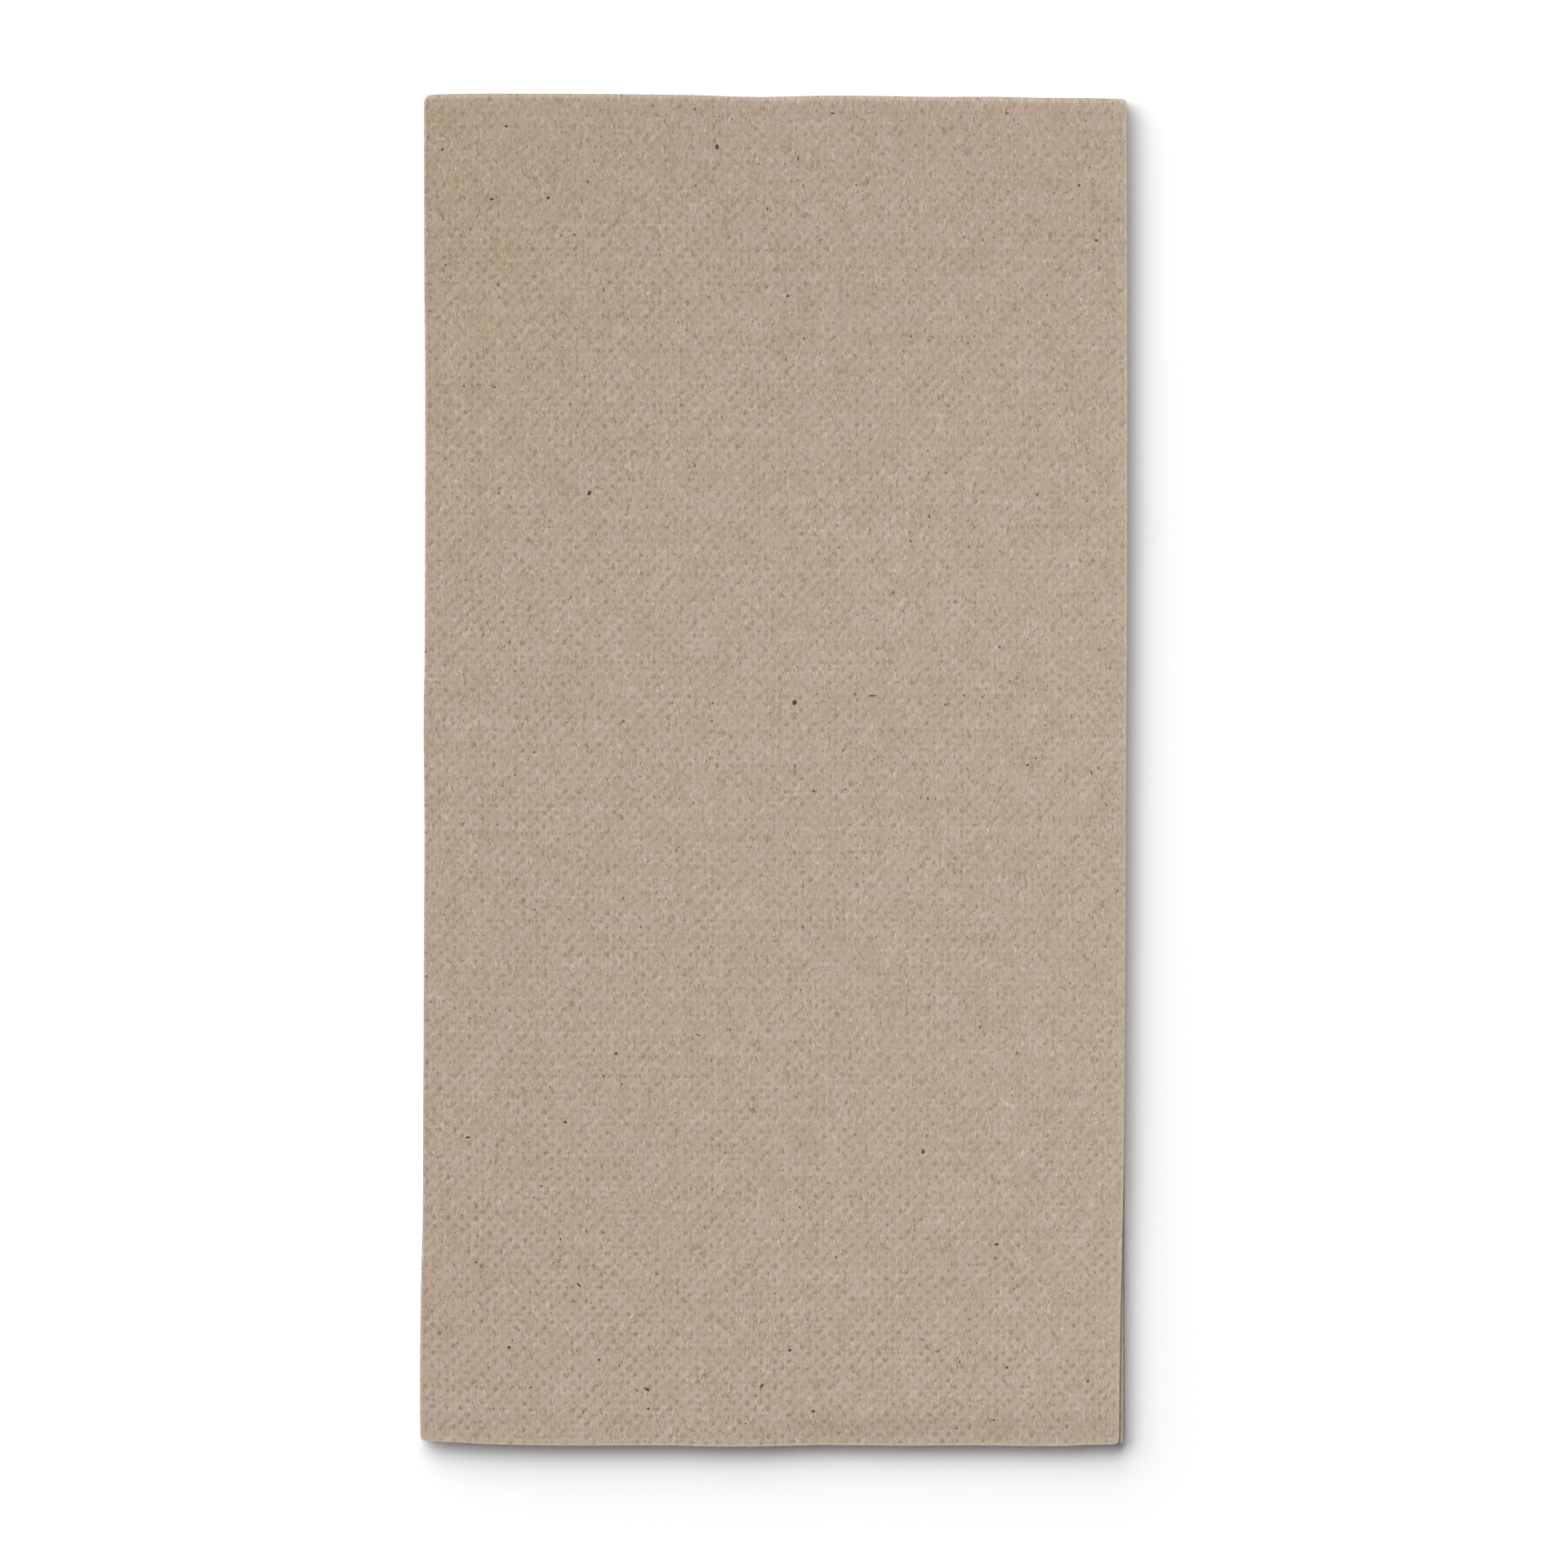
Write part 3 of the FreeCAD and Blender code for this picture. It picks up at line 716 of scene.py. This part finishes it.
def tissue_face():
    """The embossed face of the tissue."""
    finish, b, shader = new_finish("unbleached tissue", 0.95, 0.15)
    sheet = b.on_flat_sheet()
    emboss, fibres, pulp = (b.use(tree, Vector=sheet) for tree in (dots, grain, patches))
    thread = b.use(threads, Vector=sheet)["Thread"]
    speck = b.use(specks, Vector=sheet, Spacing=2.6, Size=0.17, Share=0.12)["Speck"]
    faint_speck = b.use(specks, Vector=sheet, Spacing=0.95, Size=0.14, Share=0.30)["Speck"]
    pale_place = b.vector("ADD", sheet, (7.43, 3.29, 0.0))
    pale_speck = b.use(specks, Vector=pale_place, Spacing=0.95, Size=0.11, Share=0.42)["Speck"]

    # The dots bit less towards the single fold and the cross fold, and more towards the cut end.
    x, y, _ = b.parts(b.on_piece())
    half_x, half_y = 0.051, 0.098
    depth = b.times(
        b.slope(x, -half_x, half_x, 1.0, 0.78),
        b.ramp(y, 0.075, half_y, 1.0, 0.72),
        b.ramp(y, -0.03, -0.085, 1.0, 1.25),
        b.slope(pulp["Cloud"], -0.5, 0.5, 0.85, 1.15),
    )
    dimple, pit = (b.times(emboss[name], depth) for name in ("Dimple", "Pit"))
    # Painted shade: the dimples darken the tone, standing in for the shade in their hollows; the bump gives them
    # their real relief.
    tone = b.plus(
        b.times(fibres["Grain"], 0.155),
        b.times(dimple, -0.11),
        b.times(fibres["Hair"], 0.19),
        b.slope(pulp["Patch"], 0.0, 1.0, -0.035, 0.035),
        b.times(pulp["Cloud"], 0.030),
    )
    colour = b.blend(pulp["Patch"], (0.4585, 0.3675, 0.271), (0.4575, 0.3620, 0.293))
    colour = b.vector("MULTIPLY_ADD", b.point(tone, tone, tone), (0.41, 0.36, 0.31), colour)
    # Painted shade: the pits are blended towards dark brown, standing in for the shade inside them; the streaks are
    # dark fibres of the tissue's own colour.
    pit_shade_and_streaks = b.calc("ADD", b.times(pit, 0.56), b.times(fibres["Streak"], 0.40), clamp=True)
    colour = b.blend(pit_shade_and_streaks, colour, (0.232, 0.170, 0.119))

    # Painted light and shade: the tissue's colour is a little darker at the left and towards the cross fold and
    # lighter towards the cut end, standing in for light that falls unevenly on it. It is yellower where the left and
    # the cross fold meet, which is the tissue's own colour.
    painted_uneven_light = b.plus(
        b.slope(x, -half_x, half_x, -0.036, 0.036),
        b.ramp(y, 0.02, half_y, 0.006, -0.048),
        b.slope(y, -half_y, half_y, 0.015, -0.018),
    )
    colour = b.scale(colour, b.plus(1.0, painted_uneven_light))
    yellower = b.times(b.ramp(x, 0.0, -0.045), b.ramp(y, 0.02, 0.08))
    colour = b.blend(yellower, colour, (1.0, 0.995, 0.95), "MULTIPLY")
    for bits, strength, tint in (
        (thread, 0.42, (0.60, 0.495, 0.40)),
        (pale_speck, 0.48, (0.71, 0.60, 0.50)),
        (faint_speck, 0.62, (0.15, 0.104, 0.067)),
        (speck, 0.80, (0.10, 0.064, 0.038)),
    ):
        colour = b.blend(b.times(bits, strength), colour, tint)

    # Painted shade makes the outer folds darker and cooler, and painted light pales the tissue towards its cuts.
    # Places are on the flat sheet.
    side_fold_at, cross_fold_at, last_cut_at, end_cut_at = 102.1, 2.1, 407.24, -194.74
    across, along, _ = b.parts(sheet)
    painted_fold_shade = b.calc(
        "MAXIMUM",
        b.ramp(b.size_of(b.minus(across, side_fold_at)), 1.1, 0.3, 0.0, 0.55),
        b.ramp(b.size_of(b.minus(along, cross_fold_at)), 1.5, 0.7),
    )
    from_cut = b.calc("MINIMUM", b.calc("MINIMUM", across, b.minus(last_cut_at, across)), b.plus(along, -end_cut_at))
    painted_cut_highlight = b.plus(b.ramp(from_cut, 0.45, 0.0, 0.0, 0.5), b.ramp(from_cut, 2.5, 0.3, 0.0, 0.10))
    # Painted shade on the outer folds.
    colour = b.blend(painted_fold_shade, colour, (0.62, 0.655, 0.715), "MULTIPLY")
    # Painted highlight: the tissue pales towards its cut edges, standing in for the light the edges catch and for
    # shade near them taken away.
    colour = b.blend(painted_cut_highlight, colour, (0.58, 0.50, 0.40))
    b.feed(shader.inputs["Base Color"], colour)
    heights = ((dimple, -0.035), (pit, -0.02), (fibres["Grain"], 0.010), (thread, 0.010))
    stand_out(b, shader, b.plus(*(b.times(value, height) for value, height in heights)))
    return finish


def knife_cut_edge():
    """The cut edge of the leaf, with a fine dark line of painted shade where the two plies part."""
    finish, b, shader = new_finish("knife cut edge", 1.0, 0.1)
    through = b.lay("ShaderNodeAttribute", attribute_name="through_leaf").outputs["Fac"]
    fibres = b.use(grain, Vector=b.on_flat_sheet(), Fibre_Width=0.2, Fibre_Length=0.2)
    painted_ply_gap_shade = b.ramp(b.size_of(through), 0.3, 0.0)
    colour = b.blend(b.ramp(fibres["Grain"], -0.6, 0.6), (0.37, 0.30, 0.235), (0.52, 0.44, 0.355))
    # Painted shade: a dark line where the plies part, standing in for the shade in the gap between them.
    colour = b.blend(b.times(painted_ply_gap_shade, 0.6), colour, (0.20, 0.155, 0.115))
    b.feed(shader.inputs["Base Color"], colour)
    stand_out(b, shader, b.times(fibres["Grain"], 0.03))
    return finish


tissue, cut_edge = tissue_face(), knife_cut_edge()
sheet = fold_the_sheet("tissue_sheet", tissue, cut_edge)
finish_leaves(sheet)
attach(sheet, "root")
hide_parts("folded_napkin")

# ---- Bark flecks ----
# Larger bits of bark that the pulp still holds. They are rolled flat into both faces of the tissue, flush
# but for a few hundredths of a millimetre.
fleck_height = 0.05

# Each fleck on the top: across, along, its length and width in millimetres, and its turn in degrees.
top_flecks = [
    (-41.3, 83.2, 0.66, 0.50, 20), (-33.1, 83.4, 0.64, 0.48, 70), (-39.2, 93.8, 0.56, 0.44, 0),
    (-48.5, 90.4, 0.52, 0.38, 0), (-29.3, 78.0, 0.60, 0.24, 150), (-8.5, 90.8, 0.92, 0.64, 95),
    (8.3, 95.7, 0.84, 0.32, 5), (3.3, 89.1, 0.95, 0.26, 88), (33.6, 95.7, 0.48, 0.36, 40),
    (44.2, 85.2, 0.60, 0.34, 90), (46.7, 77.2, 0.58, 0.44, 10), (-27.1, 40.4, 0.90, 0.62, 60),
    (2.8, 9.9, 0.90, 0.80, 60), (14.1, 10.9, 1.50, 0.24, 4), (2.9, 0.7, 0.60, 0.22, 80),
    (5.6, -3.0, 0.54, 0.42, 45), (10.2, -2.7, 0.48, 0.22, 0), (36.7, 0.8, 0.60, 0.34, 30),
    (47.0, 0.4, 0.44, 0.26, 120), (21.5, -55.5, 0.78, 0.60, 75), (-23.2, -41.2, 0.66, 0.46, 50),
    (-39.9, -70.1, 0.90, 0.16, 86), (-43.6, -71.6, 0.44, 0.32, 15), (-28.6, -74.9, 1.10, 0.32, 140),
    (-38.8, -84.0, 0.66, 0.44, 35), (2.1, -84.4, 0.62, 0.48, 0), (-2.0, -89.6, 0.90, 0.50, 65),
    (-35.6, -89.8, 0.46, 0.36, 25), (33.7, -86.9, 0.52, 0.38, 100), (45.5, -88.9, 0.48, 0.34, 60),
    (5.5, -93.3, 0.66, 0.50, 0), (31.8, -94.6, 0.48, 0.28, 155), (32.2, -69.0, 0.70, 0.46, 20),
    (-44.8, -53.4, 0.80, 0.40, 5), (-30.6, -51.2, 0.58, 0.50, 0), (-34.1, -60.5, 0.42, 0.34, 0),
    (-31.3, -68.2, 0.46, 0.30, 80), (-18.7, -90.1, 1.04, 0.48, 150), (-18.5, -92.9, 0.50, 0.40, 0),
    (-25.7, -85.8, 0.50, 0.42, 40), (-11.2, -38.5, 1.10, 0.20, 160), (23.7, -84.5, 0.95, 0.22, 33),
    (46.0, -0.3, 0.95, 0.22, 105), (11.0, -62.0, 0.42, 0.22, 30), (11.0, -62.7, 0.42, 0.16, 90),
    (-38.7, 18.7, 0.54, 0.34, 70), (1.8, 69.1, 0.48, 0.46, 0), (-44.5, -36.0, 0.80, 0.14, 3),
    (47.1, 17.6, 0.62, 0.18, 118), (-42.6, 19.7, 0.95, 0.20, 58), (-40.9, 55.8, 0.62, 0.20, 8),
    (-25.0, 70.0, 0.58, 0.20, 78),
]
fleck_luck = random.Random(41)
fleck_limits = ((-48, 48), (-95, 95), (0.45, 0.95), (0.24, 0.45), (0, 180))
underside_flecks = [tuple(fleck_luck.uniform(*limits) for limits in fleck_limits) for _ in range(30)]
fleck_rows = [
    (x, y, long, wide, fleck_height, math.radians(turn), side)
    for rows, side in ((top_flecks, 1.0), (underside_flecks, -1.0))
    for x, y, long, wide, turn in rows
]


def scattered(name, rows):
    """Points with a size, a turn and the side of the napkin they lie on, for a tree to set pieces on."""
    mesh = bpy.data.meshes.new(name)
    mesh.from_pydata([(x * MM, y * MM, 0.0) for x, y, *_ in rows], [], [])
    sizes = mesh.attributes.new("size", "FLOAT_VECTOR", "POINT")
    sizes.data.foreach_set("vector", [value * MM for row in rows for value in row[2:5]])
    for label, column in (("turn", 5), ("side", 6)):
        mesh.attributes.new(label, "FLOAT", "POINT").data.foreach_set("value", [float(row[column]) for row in rows])
    return new_object(name, mesh)


def laid_on_sheet(b, given, shape):
    """Sets a copy of the shape at each point, on the sheet's nearest face there, flat on it and turned."""
    start_height, ray_length = 10 * MM, 0.05
    found = b.lay("GeometryNodeObjectInfo", {"Object": given["Sheet"]}, transform_space="RELATIVE")
    side = b.named("side")
    rise = b.slope(side, -1.0, 1.0, -start_height, start_height)
    ray = b.lay("GeometryNodeRaycast", {
        "Target Geometry": found.outputs["Geometry"],
        "Source Position": b.vector("ADD", b.here(), b.point(0.0, 0.0, rise)),
        "Ray Direction": b.point(0.0, 0.0, b.times(side, -1)),
        "Ray Length": ray_length,
    }).outputs
    landed = b.move(given["Geometry"], Position=ray["Hit Position"])
    landed = b.store(landed, "lie", ray["Hit Normal"], "FLOAT_VECTOR")
    lie = {"Vector": b.named("lie", "FLOAT_VECTOR")}
    lying = b.lay("FunctionNodeAlignRotationToVector", lie, axis="Z").outputs[0]
    about = b.lay("FunctionNodeEulerToRotation", {0: b.point(0.0, 0.0, b.named("turn"))}).outputs[0]
    both = {"Rotation": lying, "Rotate By": about}
    placed = b.lay("FunctionNodeRotateRotation", both, rotation_space="LOCAL").outputs[0]
    size = b.named("size", "FLOAT_VECTOR")
    copies = {"Points": landed, "Instance": shape, "Rotation": placed, "Scale": size}
    return b.realised(b.lay("GeometryNodeInstanceOnPoints", copies).outputs[0])


def fleck_setting():
    """The tree that rolls the flecks into the sheet: thin ragged chips with a bevelled rim."""
    b, given, out = new_tree(
        "roll flecks into the sheet",
        [
            ("Geometry", SHAPE, None), ("Sheet", THING, None), ("Rim Points", COUNT, 11),
            ("Rim Bevel", FLOAT, 0.3), ("Raggedness", FLOAT, 0.16 * MM), ("Bark", FINISH, None),
        ],
        [("Geometry", SHAPE)],
    )
    top_radius = b.minus(0.5, b.over(given["Rim Bevel"], 2))
    form = {"Vertices": given["Rim Points"], "Radius Bottom": 0.5, "Radius Top": top_radius, "Depth": 1.0}
    chip = b.lay("GeometryNodeMeshCone", form).outputs["Mesh"]
    chip = b.lay("GeometryNodeTransform", {"Geometry": chip, "Translation": (0.0, 0.0, -0.5)}).outputs[0]
    flecks = laid_on_sheet(b, given, chip)
    rag = b.lay("ShaderNodeTexNoise", {"Vector": b.here(), "Scale": 2600.0, "Detail": 1.0}).outputs["Color"]
    reach = b.point(given["Raggedness"], given["Raggedness"], 0.0)
    flecks = b.move(flecks, Offset=b.vector("MULTIPLY", b.vector("SUBTRACT", rag, (0.5, 0.5, 0.5)), reach))
    b.hand_over(out["Geometry"], flecks, given["Bark"])
    return b.tree


def settle(piece, tree, finish, finish_label):
    """Runs a tree on the points and leaves a plain mesh piece in their place."""
    set_on = piece.modifiers.new("Set on sheet", "NODES")
    set_on.node_group = tree
    set_input(set_on, "Sheet", sheet)
    set_input(set_on, finish_label, finish)
    made = made_plain(piece)
    for label in ("size", "turn", "side", "lie"):
        if label in made.attributes:
            made.attributes.remove(made.attributes[label])
    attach(piece, "root")
    return piece


def dark_bark():
    """Dark brown bark, streaked along its fibres."""
    finish, b, shader = new_finish("bark in the pulp", 0.8, 0.25)
    place = b.scale(b.on_piece(), MILLIMETRES)
    fibres = b.use(grain, Vector=place, Fibre_Width=0.08, Fibre_Length=0.2)
    colour = b.blend(b.ramp(fibres["Grain"], -0.7, 0.7), (0.032, 0.022, 0.015), (0.12, 0.085, 0.055))
    b.feed(shader.inputs["Base Color"], colour)
    stand_out(b, shader, b.times(fibres["Grain"], 0.01))
    return finish


flecks = settle(scattered("bark_flecks", fleck_rows), fleck_setting(), dark_bark(), "Bark")

# ---- Loose fibres ----
# Pale single fibres that stand out of the tissue's face after embossing. They are thinner than a hair,
# curved, and mostly lie along the machine's direction.
fibre_luck = random.Random(7)
fibre_rows = []
for face_side, count in ((1.0, 420), (-1.0, 220)):
    for _ in range(count):
        length = fibre_luck.uniform(0.7, 2.4)
        lean = fibre_luck.gauss(90, 38)
        x, y = fibre_luck.uniform(-49.5, 49.3), fibre_luck.uniform(-96.5, 96.0)
        bow = length * fibre_luck.uniform(0.5, 1.6)
        fibre_rows.append((x, y, length, bow, 1.0, math.radians(lean), face_side))


def fibre_setting():
    """The tree that lays the fibres on the sheet: one bent strand, stretched and turned at each point."""
    b, given, out = new_tree(
        "lay fibres on the sheet",
        [
            ("Geometry", SHAPE, None), ("Sheet", THING, None), ("Bow", FLOAT, 0.14),
            ("Strand Radius", FLOAT, 0.013), ("Steps", COUNT, 7), ("Pulp Fibre", FINISH, None),
        ],
        [("Geometry", SHAPE)],
    )
    bow = b.point(0.1, given["Bow"], 0.0)
    bend = {"Resolution": given["Steps"], "Start": (-0.5, 0.0, 0.0), "Middle": bow, "End": (0.5, 0.0, 0.0)}
    way = b.lay("GeometryNodeCurveQuadraticBezier", bend).outputs[0]
    round_way = {"Resolution": 3, "Radius": given["Strand Radius"]}
    section = b.lay("GeometryNodeCurvePrimitiveCircle", round_way).outputs[0]
    strand = b.lay("GeometryNodeCurveToMesh", {"Curve": way, "Profile Curve": section, "Fill Caps": True}).outputs[0]
    b.hand_over(out["Geometry"], laid_on_sheet(b, given, strand), given["Pulp Fibre"])
    return b.tree


def pale_fibre():
    """Unbleached pulp, paler than the tissue."""
    finish, b, shader = new_finish("pale pulp fibre", 0.7, 0.3)
    pulp = b.use(patches, Vector=b.scale(b.on_piece(), MILLIMETRES), Patch_Size=6.0)
    b.feed(shader.inputs["Base Color"], b.blend(pulp["Patch"], (0.51, 0.43, 0.33), (0.62, 0.54, 0.45)))
    return finish


fibres = settle(scattered("loose_fibres", fibre_rows), fibre_setting(), pale_fibre(), "Pulp Fibre")

# ---- Table, light and camera ----
# A plain pale table top under the napkin, one large soft light from beyond its folded end and a
# little from the left, and a weak even light from all round.
floor_mesh = bpy.data.meshes.new("table_top")
floor_mesh.from_pydata([(-3, -3, 0), (3, -3, 0), (3, 3, 0), (-3, 3, 0)], [], [(0, 1, 2, 3)])
floor = new_object("table_top", floor_mesh)


def pale_table():
    """Matt near-white, a little brighter to the camera, and clear from below."""
    finish, b, shader = new_finish("pale table top", 1.0, 0.0)
    shader.inputs["Base Color"].default_value = (0.965, 0.97, 0.975, 1.0)
    shader.inputs["Emission Color"].default_value = (1.0, 1.0, 1.0, 1.0)
    b.feed(shader.inputs["Emission Strength"], b.times(b.seen(), 0.055))
    below = b.lay("ShaderNodeNewGeometry").outputs["Backfacing"]
    clear = b.lay("ShaderNodeBsdfTransparent")
    both = b.lay("ShaderNodeMixShader", {0: below, 1: shader.outputs[0], 2: clear.outputs[0]})
    output = next(n for n in finish.node_tree.nodes if n.type == "OUTPUT_MATERIAL")
    b.feed(output.inputs["Surface"], both.outputs[0])
    return finish


floor_mesh.materials.append(pale_table())

softbox = bpy.data.lights.new("softbox", "AREA")
softbox.shape, softbox.size, softbox.size_y = "RECTANGLE", 11.0, 8.6
softbox.energy = 1140.0
box_light = new_object("softbox", softbox)
box_light.location = (-3.03, 4.02, 3.27)
box_light.rotation_mode = "QUATERNION"
box_light.rotation_quaternion = box_light.location.to_track_quat("Z", "Y")

room = bpy.data.worlds.new("even light")
room.use_nodes = True
bpy.context.scene.world = room
room_bench = Bench(room.node_tree)
background = next(n for n in room.node_tree.nodes if n.type == "BACKGROUND")
background.inputs["Color"].default_value = (1.0, 1.0, 1.0, 1.0)
weak, full = 0.085, 1.0
room_bench.feed(background.inputs["Strength"], room_bench.slope(room_bench.seen(), 0.0, 1.0, weak, full))

camera = new_object("camera", bpy.data.cameras.new("camera"))
bpy.context.scene.camera = camera
view_width, aim, distance = 228.3 * MM, (1.25 * MM, -1.96 * MM), 1.5
camera.location = (*aim, stack_height + distance)
camera.data.lens = camera.data.sensor_width * distance / view_width
camera.data.clip_start, camera.data.clip_end = 0.05, 20.0
bpy.context.scene.view_settings.view_transform = "Standard"
